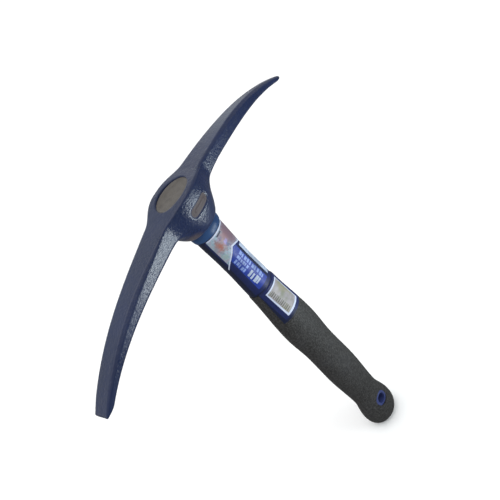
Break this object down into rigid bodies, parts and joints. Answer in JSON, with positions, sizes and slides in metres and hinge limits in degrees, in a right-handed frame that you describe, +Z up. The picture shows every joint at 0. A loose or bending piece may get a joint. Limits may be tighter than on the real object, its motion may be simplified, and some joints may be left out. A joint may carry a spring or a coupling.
{
  "type": "prospecting rock pick",
  "caption": "Hand rock pick: forged steel head with a pointed arm and a chisel arm, drooping from an oval eye, on a jacketed handle with a rubber grip and a hanging hole.",
  "frame": {"origin": "middle of the handle's butt, on the handle axis", "axes": "+Z up the handle from the butt to the head, +X from the handle towards the pick point, Y across the head"},
  "size_m": [0.314, 0.0396, 0.36],
  "materials": {
    "painted_steel": "glossy dark navy enamel over a forged surface",
    "resin": "cast grey-brown bonding resin",
    "fibreglass": "pultruded glass fibre rod",
    "jacket_plastic": "moulded dark navy plastic",
    "collar_plastic": "moulded mid blue plastic",
    "grip_rubber": "charcoal rubber with a fine grain",
    "liner_plastic": "moulded blue plastic",
    "label_film": null,
    "panel_film": null
  },
  "bodies": {
    "root": {"head": "painted_steel", "eye_resin": "resin", "core_rod": "fibreglass", "handle_jacket": "jacket_plastic", "collar_ring": "collar_plastic", "grip": "grip_rubber", "hang_liner": "liner_plastic", "neck_label": "label_film", "price_panel": "panel_film"}
  },
  "joints": []
}
